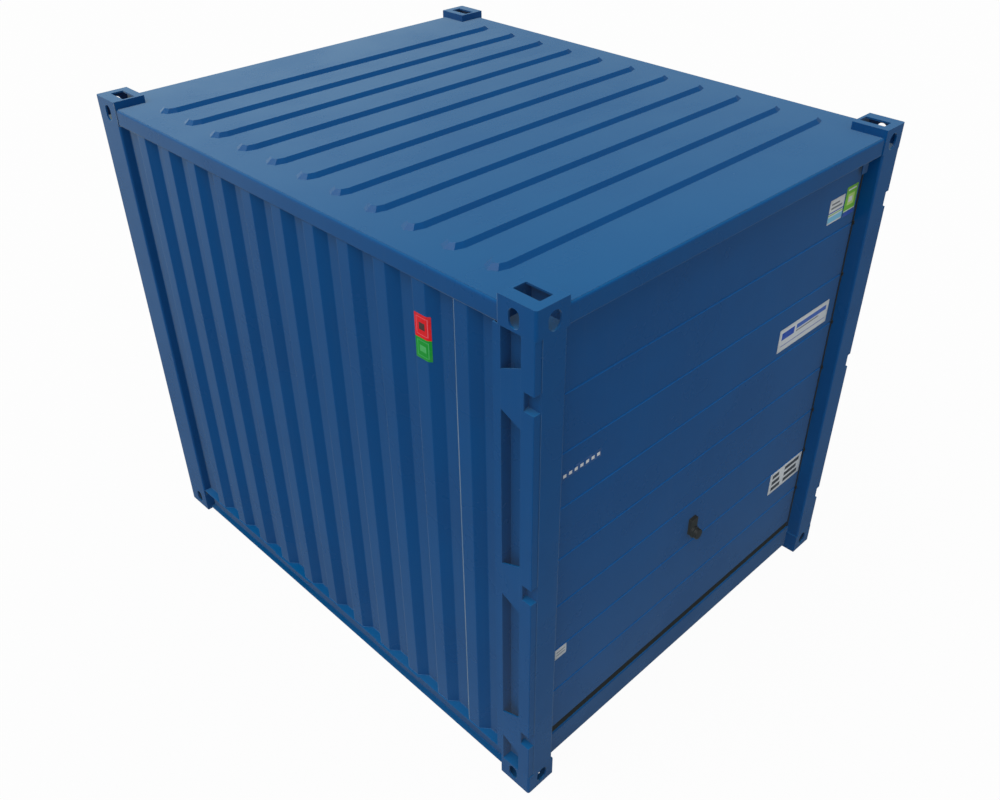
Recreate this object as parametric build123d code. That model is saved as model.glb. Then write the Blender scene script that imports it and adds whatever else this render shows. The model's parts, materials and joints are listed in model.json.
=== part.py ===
from build123d import *

import os
from math import cos, radians, sin

# Ten-foot freight container with a sectional shutter in its door end.
# Millimetres. The origin is the centre of the footprint on the ground and +Z is up.
# The door end faces -Y, and the long walls face -X (left) and +X (right).

# Overall size
length = 2991.0
width = 2438.0
height = 2591.0
half_length = length / 2
half_width = width / 2
left = -half_width
front = -half_length

# Corner castings: thin-walled hollow boxes
casting_length = 178.0
casting_width = 162.0
casting_height = 118.0
casting_cap = 8.0
casting_wall = 8.0
casting_inner_wall = 8.0
casting_edge_radius = 12.0
slot_length = 124.5
slot_width = 63.5
slot_corner_radius = 4.0
slot_from_end = 102.0
slot_from_side = 89.5
hole_height = 79.0
end_hole_width = 63.5
side_hole_width = 51.0
hole_from_cap = 68.0
casting_underside = height - casting_height

# Base and top levels
ground_clearance = 12.5
rail_top = 160.0
sill_top = 165.0
sill_underside = 14.0
sheet_thickness = 2.0
roof_drop = 38.0
roof_level = height - roof_drop
roof_underside = roof_level - sheet_thickness

# Door-end posts: a tube beside a deep recess in the long side, closed off by an outer lip
post_inset = 0.5
post_thickness = 6.0
post_front_width = 156.0
post_lip_length = 68.0
post_lip_setback = 4.0
post_lip_width = 35.0
post_lip_radius = 3.0
post_recess_depth = 51.0
post_recess_end = 165.5
post_side_end = 204.0
post_bend_radius = 10.0

# Pockets in the outer corner of the door-end posts, and the webs behind them.
# Each pocket runs on behind the lip to the end of the lip.
pocket_from_end = 374.5
pocket_levels = (pocket_from_end, height / 2, height - pocket_from_end)
pocket_height = 81.0
pocket_depth = 54.0
pocket_width = 33.0
web_tall = 256.0
web_short = 168.0

# Rear posts
rear_post_side = 184.0
rear_post_face = 120.0
rear_post_lip = 60.0

# Side rails
top_rail_inset = 6.0
top_rail_width = 60.0
top_rail_thickness = 3.0
top_rail_radius = 10.0
bottom_rail_inset = 6.0
bottom_rail_top_flange = 52.0
bottom_rail_low_flange = 32.0
bottom_rail_thickness = 4.5
rail_plate_length = 340.0
rail_plate_places = (-552.0, 371.5)

# Corrugated walls
wall_inset = 12.0
wall_pitch = 224.0
wall_crest = 70.0
wall_slope = 43.0
wall_depth = 36.0
wall_bend_radius = 9.0
wall_end_flat = 20.0

# Roof ribs: long raised pads with faceted ends
roof_end_flat = 100.0
rib_pitch = 225.5
rib_from_side = 135.5
rib_base_half = 50.5
rib_top_half = 31.5
rib_height = 19.0
rib_end_slope = 27.0
rib_end_stretch = 1.3

# Door header and the small plates in the upper corners of the door opening
header_inset = 7.5
header_depth = 65.0
header_drop = 6.0
header_underside = casting_underside - header_drop
header_thickness = 4.0
corner_plate_inset = 59.5
corner_plate_width = 50.0
corner_plate_height = 89.0
corner_plate_thickness = 4.0

# Sills at both ends
sill_inset = 69.5
sill_depth = 108.0
sill_lip = 60.0
sill_thickness = 4.5
rear_sill_inset = 12.0
rear_sill_depth = 60.0

# Floor
cross_member_height = 121.5
cross_member_width = 45.0
cross_member_thickness = 4.0
cross_member_end_gap = 60.0
cross_member_pitch = 300.0
deck_thickness = 28.0

# Shutter
door_inset = 78.0
panel_thickness = 40.0
panel_count = 8
lowest_groove = 468.0
top_panel_height = 344.2
panel_chamfer = 12.0
panel_side_gap = 6.0
panel_header_overlap = 3.0
tongue_width = 12.0
tongue_height = 8.0
tongue_clearance = 0.4
door_seal_height = 36.0
door_seal_depth = 30.0
door_seal_overhang = 2.0
guide_thickness = 2.0
guide_reach = 12.0
guide_front_gap = 1.0
guide_back_gap = 3.0
side_seal_thickness = 2.0

# Shutter lock
lock_offset = -1.5
lock_level = 855.5
lock_width = 52.0
lock_height = 98.0
lock_depth = 18.0
lock_corner_radius = 4.0
key_boss_radius = 6.5
key_boss_length = 2.0
key_boss_rise = 31.0
collar_radius = 31.5
collar_length = 9.5
knob_drop = 34.0
knob_radius = 27.5
knob_length = 18.5
knob_gap = 5.0
knob_edge_radius = 2.0
spindle_radius = 8.0
spindle_clearance = 0.05
spindle_length = 30.0
spindle_end_gap = 0.3
key_slot_length = 8.0
key_slot_width = 2.5
key_slot_depth = 1.5

# Levels worked out from the sizes above
rail_end = half_length - casting_length
rail_side = half_width - casting_width
jamb = half_width - post_front_width
wall_inner_face = wall_inset + wall_depth
deck_underside = ground_clearance + cross_member_height
rail_inner_face = bottom_rail_inset + bottom_rail_top_flange
door_top = header_underside + panel_header_overlap
panel_pitch = (door_top - top_panel_height - lowest_groove) / (panel_count - 2)
knob_level = lock_level - knob_drop


def block(x_span, y_span, z_span):
    """A block between two values along each axis."""
    size = [span[1] - span[0] for span in (x_span, y_span, z_span)]
    centre = [(span[0] + span[1]) / 2 for span in (x_span, y_span, z_span)]
    return Pos(*centre) * Box(*size)


def rectangle(x_span, y_span):
    """A flat rectangle between two values along each axis."""
    centre = Pos((x_span[0] + x_span[1]) / 2, (y_span[0] + y_span[1]) / 2)
    return centre * Rectangle(x_span[1] - x_span[0], y_span[1] - y_span[0])


def bent_sheet(corners, thickness, radius, side):
    """Section of a bent sheet: one face follows the corners, the other lies a thickness to one side."""
    path = FilletPolyline(*corners, radius=radius) if radius > 0 else Polyline(*corners)
    return make_face(path.offset_2d(thickness, kind=Kind.INTERSECTION, side=side, closed=True))


def upright(section, low, high):
    """A section drawn in plan, raised between two levels."""
    return extrude(Pos(0, 0, low) * section, amount=high - low)


def lengthwise(section, half):
    """A section drawn in X and Z, run along Y to both sides of the middle."""
    return extrude(Plane.XZ * section, amount=half, both=True)


def crosswise(section, half):
    """A section drawn in Y and Z, run along X to both sides of the middle."""
    return extrude(Plane.YZ * section, amount=half, both=True)


def to_right(shape):
    """The same piece on the other long side."""
    return mirror(shape, about=Plane.YZ)


def to_rear(shape):
    """The same piece at the other end."""
    return mirror(shape, about=Plane.XZ)


def pattern_places(reach, size, pitch):
    """Places of the copies of a piece that fit at a pitch within a reach to both sides of the middle."""
    count = int((2 * reach - size) / pitch) + 1
    return [(index - (count - 1) / 2) * pitch for index in range(count)]


def casting_blocks(low, high):
    """The space of the four castings between two levels, for pieces that stop against them."""
    corner = block((left, left + casting_width), (front, front + casting_length), (low, high))
    pair = corner + to_right(corner)
    return pair + to_rear(pair)


def corner_casting():
    """Upper casting of the left door-end corner: a hollow block, open through its cap and outer walls."""
    body = block((left, left + casting_width), (front, front + casting_length), (casting_underside, height))
    outer_edge = body.edges().filter_by(Axis.Z).sort_by(Axis.X)[:2].sort_by(Axis.Y)[0]
    body = fillet(outer_edge, casting_edge_radius)
    cavity = block(
        (left + casting_wall, left + casting_width - casting_inner_wall),
        (front + casting_wall, front + casting_length - casting_inner_wall),
        (casting_underside + casting_inner_wall, height - casting_cap),
    )
    slot_centre = (left + slot_from_side, front + slot_from_end)
    slot = RectangleRounded(slot_width, slot_length, slot_corner_radius)
    slot = extrude(Pos(*slot_centre, height) * slot, amount=-casting_cap)
    hole_level = height - hole_from_cap
    end_hole = SlotOverall(hole_height, end_hole_width, rotation=90)
    end_hole = Plane.XZ.offset(-front) * Pos(slot_centre[0], hole_level) * end_hole
    end_hole = extrude(end_hole, amount=-casting_wall)
    side_hole = SlotOverall(hole_height, side_hole_width, rotation=90)
    side_hole = Plane.YZ.offset(left) * Pos(slot_centre[1], hole_level) * side_hole
    side_hole = extrude(side_hole, amount=casting_wall)
    return body - cavity - slot - end_hole - side_hole


def lower_casting(upper):
    """The upper casting turned over, with its lower outer edges rounded."""
    body = Pos(0, 0, height) * mirror(upper, about=Plane.XY)
    feet = body.edges().group_by(Axis.Z)[0]
    end_edge = feet.filter_by(Axis.X).sort_by(Axis.Y)[0]
    side_edge = feet.filter_by(Axis.Y).sort_by(Axis.X)[0]
    corner_arc = feet.filter_by(GeomType.CIRCLE).sort_by(Axis.X)[0]
    return fillet([end_edge, corner_arc, side_edge], casting_edge_radius / 2)


def door_post():
    """Left door-end post: tube, outer lip with three pockets, and the hat that meets the long wall."""
    face = front + post_inset
    side = left + post_inset
    back = front + post_recess_end
    tube = rectangle((left + post_recess_depth, -jamb), (face, back + post_thickness))
    bore = rectangle(
        (left + post_recess_depth + post_thickness, -jamb - post_thickness),
        (face + post_thickness, back),
    )
    jamb_corner = tube.vertices().sort_by(Axis.X)[-2:].sort_by(Axis.Y)[0]
    section = fillet(jamb_corner, post_bend_radius) - bore
    section += rectangle((left + post_lip_width, left + post_recess_depth), (face, face + post_thickness))
    lip_face = face + post_lip_setback
    lip_corners = (
        (left + post_recess_depth, lip_face),
        (side, lip_face),
        (side, front + post_lip_length),
    )
    lip = bent_sheet(lip_corners, post_thickness, 0, Side.RIGHT)
    lip_edge = lip.vertices().sort_by(Axis.X)[:2].sort_by(Axis.Y)[0]
    section += fillet(lip_edge, post_lip_radius)
    hat_corners = (
        (left + post_recess_depth + post_thickness, back),
        (side, back),
        (side, front + post_side_end),
        (left + wall_inner_face + sheet_thickness, front + post_side_end),
    )
    section += bent_sheet(hat_corners, post_thickness, 0, Side.RIGHT)
    post = upright(section, casting_height, casting_underside)
    rail_room = block(
        (left, left + rail_inner_face),
        (front + casting_length, front + post_side_end),
        (casting_height, rail_top),
    )
    post -= rail_room
    for level in pocket_levels:
        low = level - pocket_height / 2
        high = level + pocket_height / 2
        shell = block(
            (side, left + pocket_width + post_thickness),
            (lip_face, front + post_lip_length),
            (low - post_thickness, high + post_thickness),
        )
        shell_edge = shell.edges().filter_by(Axis.Z).sort_by(Axis.X)[:2].sort_by(Axis.Y)[0]
        post += fillet(shell_edge, post_lip_radius)
    for level in pocket_levels:
        span = (level - pocket_height / 2, level + pocket_height / 2)
        post -= block((left, left + pocket_width), (front, front + pocket_depth), span)
        post -= block(
            (side + post_thickness, left + pocket_width),
            (front + pocket_depth, front + post_lip_length - post_thickness),
            span,
        )
    return post


def post_webs():
    """Three trapezoid plates that bridge the side recess of the left door-end post."""
    start = front + post_lip_length
    end = front + post_recess_end
    plates = []
    for level in pocket_levels:
        outline = Polyline(
            (start, level - web_tall / 2),
            (end, level - web_short / 2),
            (end, level + web_short / 2),
            (start, level + web_tall / 2),
            close=True,
        )
        plate = Plane.YZ.offset(left + post_inset) * make_face(outline)
        plates.append(extrude(plate, amount=post_thickness))
    return Compound(children=plates)


def rear_post():
    """Left rear post, drawn at the door end: a bent section open to the inside."""
    face = front + post_inset
    side = left + post_inset
    corners = (
        (left + wall_inner_face + sheet_thickness, front + rear_post_side),
        (side, front + rear_post_side),
        (side, face),
        (left + rear_post_face, face),
        (left + rear_post_face, face + rear_post_lip),
    )
    section = bent_sheet(corners, post_thickness, post_bend_radius, Side.LEFT)
    post = upright(section, casting_height, casting_underside)
    rail_room = block(
        (left, left + rail_inner_face),
        (front + casting_length, front + rear_post_side),
        (casting_height, rail_top),
    )
    return post - rail_room


def corrugation(start, end):
    """Corners of a corrugated sheet: distance along the wall, and depth below its outermost face."""
    half_crest = wall_crest / 2
    reach = min(-start, end) - wall_end_flat
    corners = [(start, wall_depth)]
    for centre in pattern_places(reach, wall_crest + 2 * wall_slope, wall_pitch):
        corners += [
            (centre - half_crest - wall_slope, wall_depth),
            (centre - half_crest, 0),
            (centre + half_crest, 0),
            (centre + half_crest + wall_slope, wall_depth),
        ]
    return corners + [(end, wall_depth)]


def side_wall():
    """Left corrugated wall, from the door-end post to the rear post."""
    line = corrugation(front + post_side_end, half_length - rear_post_side)
    corners = [(left + wall_inset + depth, along) for along, depth in line]
    section = bent_sheet(corners, sheet_thickness, wall_bend_radius, Side.RIGHT)
    return upright(section, rail_top, casting_underside)


def rear_wall():
    """Corrugated wall between the rear posts."""
    reach = half_width - rear_post_face
    line = corrugation(-reach, reach)
    corners = [(along, half_length - wall_inset - depth) for along, depth in line]
    section = bent_sheet(corners, sheet_thickness, wall_bend_radius, Side.RIGHT)
    return upright(section, rail_top, casting_underside)


def hollow_rail(low, high, near, far, thickness):
    """Section of a rectangular tube with rounded corners, with its spans along both axes."""
    outer = rectangle((near, far), (low, high))
    outer = fillet(outer.vertices(), top_rail_radius)
    inner = rectangle((near + thickness, far - thickness), (low + thickness, high - thickness))
    return outer - fillet(inner.vertices(), top_rail_radius - thickness)


def top_side_rail():
    """Left top rail, between the castings."""
    near = left + top_rail_inset
    section = hollow_rail(casting_underside, roof_underside, near, near + top_rail_width, top_rail_thickness)
    return lengthwise(section, rail_end)


def bottom_side_rail():
    """Left bottom rail: a channel that opens outwards, its upper flange widened in two places."""
    back = left + rail_inner_face
    corners = (
        (left + bottom_rail_inset, rail_top),
        (back, rail_top),
        (back, ground_clearance),
        (back - bottom_rail_low_flange, ground_clearance),
    )
    section = bent_sheet(corners, bottom_rail_thickness, bottom_rail_thickness * 2, Side.RIGHT)
    rail = lengthwise(section, rail_end)
    for place in rail_plate_places:
        rail += block(
            (left, left + bottom_rail_inset),
            (place - rail_plate_length / 2, place + rail_plate_length / 2),
            (rail_top - bottom_rail_thickness, rail_top),
        )
    return rail


def rib_outline(half, tip, level):
    """Plan of a rib at one level: straight sides and ends of four facets, drawn out along X."""
    end_length = half * rib_end_stretch
    end_centre = tip - end_length
    corners = []
    for side, first in ((1, -90), (-1, 90)):
        for step in range(5):
            turn = radians(first + step * 45)
            corners.append((side * end_centre + end_length * cos(turn), half * sin(turn)))
    return Pos(0, 0, level) * make_face(Polyline(*corners, close=True))


def roof():
    """Roof sheet with hollow ribs pressed upwards, laid on the flat tops of the rails."""
    edge = half_width - top_rail_inset - top_rail_radius
    end = half_length - header_inset - top_rail_radius
    sheet = block((-edge, edge), (-end, end), (roof_underside, roof_level))
    sheet -= casting_blocks(roof_underside, roof_level)
    tip = half_width - rib_from_side
    base = rib_outline(rib_base_half, tip, roof_level)
    top = rib_outline(rib_top_half, tip - rib_end_slope, roof_level + rib_height)
    rib = loft([base, top], ruled=True)
    places = pattern_places(rail_end - roof_end_flat, 2 * rib_base_half, rib_pitch)
    raised = [Pos(0, place, 0) * rib for place in places]
    hollows = [Pos(0, place, -sheet_thickness) * rib for place in places]
    return sheet + raised - hollows


def door_header():
    """Tube over the door opening, between the upper castings."""
    near = front + header_inset
    section = hollow_rail(header_underside, roof_underside, near, near + header_depth, header_thickness)
    return crosswise(section, rail_side)


def rear_top_rail():
    """Tube over the rear wall, between the upper castings."""
    near = front + header_inset
    section = hollow_rail(casting_underside, roof_underside, near, near + top_rail_width, top_rail_thickness)
    return to_rear(crosswise(section, rail_side))


def corner_plates():
    """Small plates under the ends of the header, in front of the shutter's guides."""
    near = front + corner_plate_inset
    plate = block(
        (-jamb, -jamb + corner_plate_width),
        (near, near + corner_plate_thickness),
        (header_underside - corner_plate_height, header_underside),
    )
    return Compound(children=[plate, to_right(plate)])


def end_sill(inset, depth, top, reach):
    """Channel across the door end, open to the inside, stopped against the lower castings."""
    face = front + inset
    corners = (
        (face + sill_lip, sill_underside),
        (face, sill_underside),
        (face, top),
        (face + depth, top),
    )
    section = bent_sheet(corners, sill_thickness, sill_thickness * 2, Side.RIGHT)
    return crosswise(section, reach) - casting_blocks(0, casting_height)


def cross_members():
    """Channels under the floor, from rail to rail."""
    corners = (
        (cross_member_width, ground_clearance),
        (0, ground_clearance),
        (0, deck_underside),
        (cross_member_width, deck_underside),
    )
    section = bent_sheet(corners, cross_member_thickness, cross_member_thickness * 2, Side.RIGHT)
    member = crosswise(section, half_width - rail_inner_face)
    reach = half_length - sill_inset - sill_depth - cross_member_end_gap
    places = pattern_places(reach, cross_member_width, cross_member_pitch)
    return Compound(children=[Pos(0, place - cross_member_width / 2, 0) * member for place in places])


def floor_deck():
    """Plywood deck on the cross members, between the bottom rails and the sills."""
    reach = half_width - rail_inner_face
    start = front + sill_inset + sill_depth
    end = half_length - rear_sill_inset - rear_sill_depth
    return block((-reach, reach), (start, end), (deck_underside, deck_underside + deck_thickness))


def shutter_panel(low, high, has_tongue, has_groove):
    """One panel of the shutter: a slab with a chamfered upper edge, a tongue above and a groove below."""
    near = front + door_inset
    far = near + panel_thickness
    outline = Polyline(
        (near, low),
        (far, low),
        (far, high),
        (near + panel_chamfer, high),
        (near, high - panel_chamfer),
        close=True,
    )
    section = make_face(outline)
    middle = (near + far) / 2
    if has_tongue:
        section += rectangle((middle - tongue_width / 2, middle + tongue_width / 2), (high, high + tongue_height))
    if has_groove:
        half = tongue_width / 2 + tongue_clearance
        section -= rectangle((middle - half, middle + half), (low, low + tongue_height + tongue_clearance))
    return crosswise(section, jamb - guide_thickness - panel_side_gap)


def door_seal():
    """Rubber strip under the lowest panel."""
    near = front + door_inset - door_seal_overhang
    reach = jamb - guide_reach - guide_front_gap
    return block((-reach, reach), (near, near + door_seal_depth), (sill_top, sill_top + door_seal_height))


def door_guide():
    """Left channel that holds the ends of the panels."""
    near = front + door_inset - guide_front_gap - guide_thickness
    far = front + door_inset + panel_thickness + guide_back_gap + guide_thickness
    corners = (
        (-jamb + guide_reach, near),
        (-jamb, near),
        (-jamb, far),
        (-jamb + guide_reach, far),
    )
    return upright(bent_sheet(corners, guide_thickness, 0, Side.RIGHT), sill_top, casting_underside)


def side_seal():
    """Left rubber strip in front of the guide."""
    far = front + door_inset - guide_front_gap - guide_thickness
    return block(
        (-jamb, -jamb + guide_reach),
        (far - side_seal_thickness, far),
        (sill_top, header_underside),
    )


def door_cylinder(radius, outer_end, inner_end, level):
    """A round bar square to the door, given by the Y values of its ends and its level."""
    disc = Plane.XZ.offset(-inner_end) * Pos(lock_offset, level) * Circle(radius)
    return extrude(disc, amount=inner_end - outer_end)


def key_slot(face, level):
    """Upright key slot cut into a face of the lock."""
    return block(
        (lock_offset - key_slot_width / 2, lock_offset + key_slot_width / 2),
        (face, face + key_slot_depth),
        (level - key_slot_length / 2, level + key_slot_length / 2),
    )


def lock_case():
    """Case of the shutter lock, with a keyed boss above and a collar that carries the knob's spindle."""
    back = front + door_inset
    face = back - lock_depth
    case = block(
        (lock_offset - lock_width / 2, lock_offset + lock_width / 2),
        (face, back),
        (lock_level - lock_height / 2, lock_level + lock_height / 2),
    )
    case = fillet(case.edges().filter_by(Axis.Y), lock_corner_radius)
    nose = face - collar_length
    case += door_cylinder(collar_radius, nose, face, knob_level)
    boss_level = lock_level + key_boss_rise
    case += door_cylinder(key_boss_radius, face - key_boss_length, face, boss_level)
    case -= key_slot(face - key_boss_length, boss_level)
    bore_end = nose + spindle_length - knob_gap + spindle_end_gap
    return case - door_cylinder(spindle_radius + spindle_clearance, nose, bore_end, knob_level)


def lock_knob():
    """Round knob on its spindle, with a key slot across its face."""
    inner = front + door_inset - lock_depth - collar_length - knob_gap
    outer = inner - knob_length
    grip = door_cylinder(knob_radius, outer, inner, knob_level)
    grip = fillet(grip.edges().filter_by(GeomType.CIRCLE).sort_by(Axis.Y)[0], knob_edge_radius)
    knob = grip + door_cylinder(spindle_radius, inner, inner + spindle_length, knob_level)
    return knob - key_slot(outer, knob_level)


nodes = {}

upper = corner_casting()
lower = lower_casting(upper)
for name, casting in (("casting_top", upper), ("casting_bottom", lower)):
    nodes[name + "_front_left"] = casting
    nodes[name + "_front_right"] = to_right(casting)
    nodes[name + "_rear_left"] = to_rear(casting)
    nodes[name + "_rear_right"] = to_rear(to_right(casting))

paired = {
    "door_post": door_post(),
    "post_webs": post_webs(),
    "rear_post": to_rear(rear_post()),
    "top_side_rail": top_side_rail(),
    "bottom_side_rail": bottom_side_rail(),
    "side_wall": side_wall(),
    "door_guide": door_guide(),
    "side_seal": side_seal(),
}
for name, piece in paired.items():
    nodes[name + "_left"] = piece
    nodes[name + "_right"] = to_right(piece)

nodes["rear_wall"] = rear_wall()
nodes["roof"] = roof()
nodes["door_header"] = door_header()
nodes["header_corner_plates"] = corner_plates()
nodes["door_sill"] = end_sill(sill_inset, sill_depth, sill_top, jamb)
nodes["rear_top_rail"] = rear_top_rail()
nodes["rear_sill"] = to_rear(end_sill(rear_sill_inset, rear_sill_depth, rail_top, half_width - rear_post_face))
nodes["cross_members"] = cross_members()
nodes["floor_deck"] = floor_deck()
nodes["door_seal"] = door_seal()

panel_bottom = sill_top + door_seal_height
for index in range(panel_count):
    is_last = index == panel_count - 1
    panel_top = door_top if is_last else lowest_groove + index * panel_pitch
    nodes[f"shutter_panel_{index + 1}"] = shutter_panel(panel_bottom, panel_top, not is_last, index > 0)
    panel_bottom = panel_top

nodes["lock_case"] = lock_case()
nodes["lock_knob"] = lock_knob()

os.makedirs("parts", exist_ok=True)
for name, shape in nodes.items():
    export_step(shape, os.path.join("parts", name + ".step"))
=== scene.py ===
"""Looks of a ten-foot freight container with a sectional shutter in its door end.

Metres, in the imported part's frame: the origin is the centre of the footprint on the ground,
+Z is up, the door end faces -Y, and the long walls face -X (left) and +X (right).
"""

from __future__ import annotations

import json
import logging
import math
from dataclasses import dataclass, field
from enum import Enum
from typing import Any, Mapping, Optional, Sequence, Union

import bpy
import numpy as np
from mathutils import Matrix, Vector


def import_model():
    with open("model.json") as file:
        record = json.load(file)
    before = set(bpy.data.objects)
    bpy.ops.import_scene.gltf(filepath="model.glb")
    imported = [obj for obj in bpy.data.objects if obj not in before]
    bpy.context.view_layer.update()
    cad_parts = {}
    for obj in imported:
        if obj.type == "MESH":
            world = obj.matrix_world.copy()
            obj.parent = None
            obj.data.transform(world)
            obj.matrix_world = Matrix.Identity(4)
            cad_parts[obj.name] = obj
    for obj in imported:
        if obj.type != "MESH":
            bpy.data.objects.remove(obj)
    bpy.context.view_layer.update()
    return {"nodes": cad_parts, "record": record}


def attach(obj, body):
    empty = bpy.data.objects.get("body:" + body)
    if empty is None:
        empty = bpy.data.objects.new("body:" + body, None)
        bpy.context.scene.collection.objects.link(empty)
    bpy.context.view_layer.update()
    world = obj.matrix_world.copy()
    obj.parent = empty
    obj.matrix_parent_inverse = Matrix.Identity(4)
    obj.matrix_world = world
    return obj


log = logging.getLogger("container")

Colour = tuple[float, float, float, float]
Point = tuple[float, float, float]
Line = tuple[Point, Point]
Value = Union["Sock", float, int, Sequence[float]]
Inputs = Mapping[Union[str, int], Value]
Owner = Union[bpy.types.Material, bpy.types.World]

SHELL = "container"
MIRRORED = ("shutter_panel_8", "side_wall_right", "rear_wall")

HALF_WIDTH = 1.219
HALF_LENGTH = 1.4955
HEIGHT = 2.591
CASTING_LENGTH = 0.178
CASTING_WIDTH = 0.162
CASTING_HEIGHT = 0.118
RAIL_TOP = 0.160
ROOF_UNDERSIDE = 2.551
POST_TOP = HEIGHT - CASTING_HEIGHT
POST_FRONT_WIDTH = 0.156
POST_LIP_LENGTH = 0.068
POST_RECESS_END = 0.1655
POST_SIDE_END = 0.204
REAR_POST_SIDE = 0.184
REAR_POST_FACE = 0.120
WALL_INSET = 0.012
WALL_INNER_FACE = 0.048
DOOR_FACE = -(HALF_LENGTH - 0.078)
CHAMFER_START = 0.65
SMOOTH_BELOW = math.radians(40)
WHITE: Colour = (1.0, 1.0, 1.0, 1.0)


class Slot(Enum):
    """The record's material slots."""

    BLUE_PAINT = "blue_paint"
    DOOR_PAINT = "door_paint"
    BLACK_RUBBER = "black_rubber"
    BLACK_PLASTIC = "black_plastic"
    PLYWOOD = "plywood"


class Side(Enum):
    """The two long sides, by the sign of X."""

    LEFT = -1
    RIGHT = 1

    @property
    def flip(self) -> np.ndarray:
        """What a point of the left side is multiplied by to lie on this side."""
        return np.array([-self.value, 1.0, 1.0])


def shown(red: int, green: int, blue: int) -> Colour:
    """Turns a colour as a screen shows it into the linear colour that a socket takes.

    Args:
        red: Red from 0 to 255.
        green: Green from 0 to 255.
        blue: Blue from 0 to 255.

    Returns:
        Linear red, green, blue and an alpha of 1.
    """
    values = np.array([red, green, blue], float) / 255
    linear = np.where(values <= 0.04045, values / 12.92, ((values + 0.055) / 1.055) ** 2.4)
    return (float(linear[0]), float(linear[1]), float(linear[2]), 1.0)


class Sock:
    """An output of a shader node, with the operators that shader maths uses."""

    def __init__(self, shader: Shader, socket: bpy.types.NodeSocket) -> None:
        """Keeps the socket and the shader that it belongs to."""
        self.shader = shader
        self.socket = socket

    def maths(self, operation: str, *values: Value) -> Sock:
        """Adds a Math node.

        Args:
            operation: The node's operation.
            values: Its inputs, in order.

        Returns:
            The node's result.
        """
        inputs = dict(enumerate(values))
        return self.shader.add("ShaderNodeMath", {"operation": operation}, inputs)

    def __add__(self, other: Value) -> Sock:
        """This plus the other."""
        return self.maths("ADD", self, other)

    def __radd__(self, other: Value) -> Sock:
        """The other plus this."""
        return self.maths("ADD", other, self)

    def __sub__(self, other: Value) -> Sock:
        """This minus the other."""
        return self.maths("SUBTRACT", self, other)

    def __rsub__(self, other: Value) -> Sock:
        """The other minus this."""
        return self.maths("SUBTRACT", other, self)

    def __mul__(self, other: Value) -> Sock:
        """This times the other."""
        return self.maths("MULTIPLY", self, other)

    def __rmul__(self, other: Value) -> Sock:
        """The other times this."""
        return self.maths("MULTIPLY", other, self)

    def __abs__(self) -> Sock:
        """This without its sign."""
        return self.maths("ABSOLUTE", self)

    def above(self, edge: Value) -> Sock:
        """1 where this is over the edge, and 0 elsewhere."""
        return self.maths("GREATER_THAN", self, edge)

    def between(self, low: float, high: float) -> Sock:
        """1 where this lies between two values, and 0 elsewhere."""
        return self.above(low) * (1 - self.above(high))

    def or_larger(self, other: Value) -> Sock:
        """The larger of this and the other."""
        return self.maths("MAXIMUM", self, other)

    def beside(self, *names: Union[str, int]) -> list[Sock]:
        """Outputs of the same node, by name or number."""
        return [Sock(self.shader, self.socket.node.outputs[name]) for name in names]

    def sine(self) -> Sock:
        """The sine of this, in radians."""
        return self.maths("SINE", self)

    def ramp(self, low: float, high: float) -> Sock:
        """Rises smoothly from 0 to 1 as this goes from low to high, or falls if low is the larger.

        Args:
            low: Where the result is 0.
            high: Where the result is 1.

        Returns:
            The smooth step.
        """
        settings = {"interpolation_type": "SMOOTHSTEP"}
        inputs = {"Value": self, "From Min": low, "From Max": high}
        return self.shader.add("ShaderNodeMapRange", settings, inputs)


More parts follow.
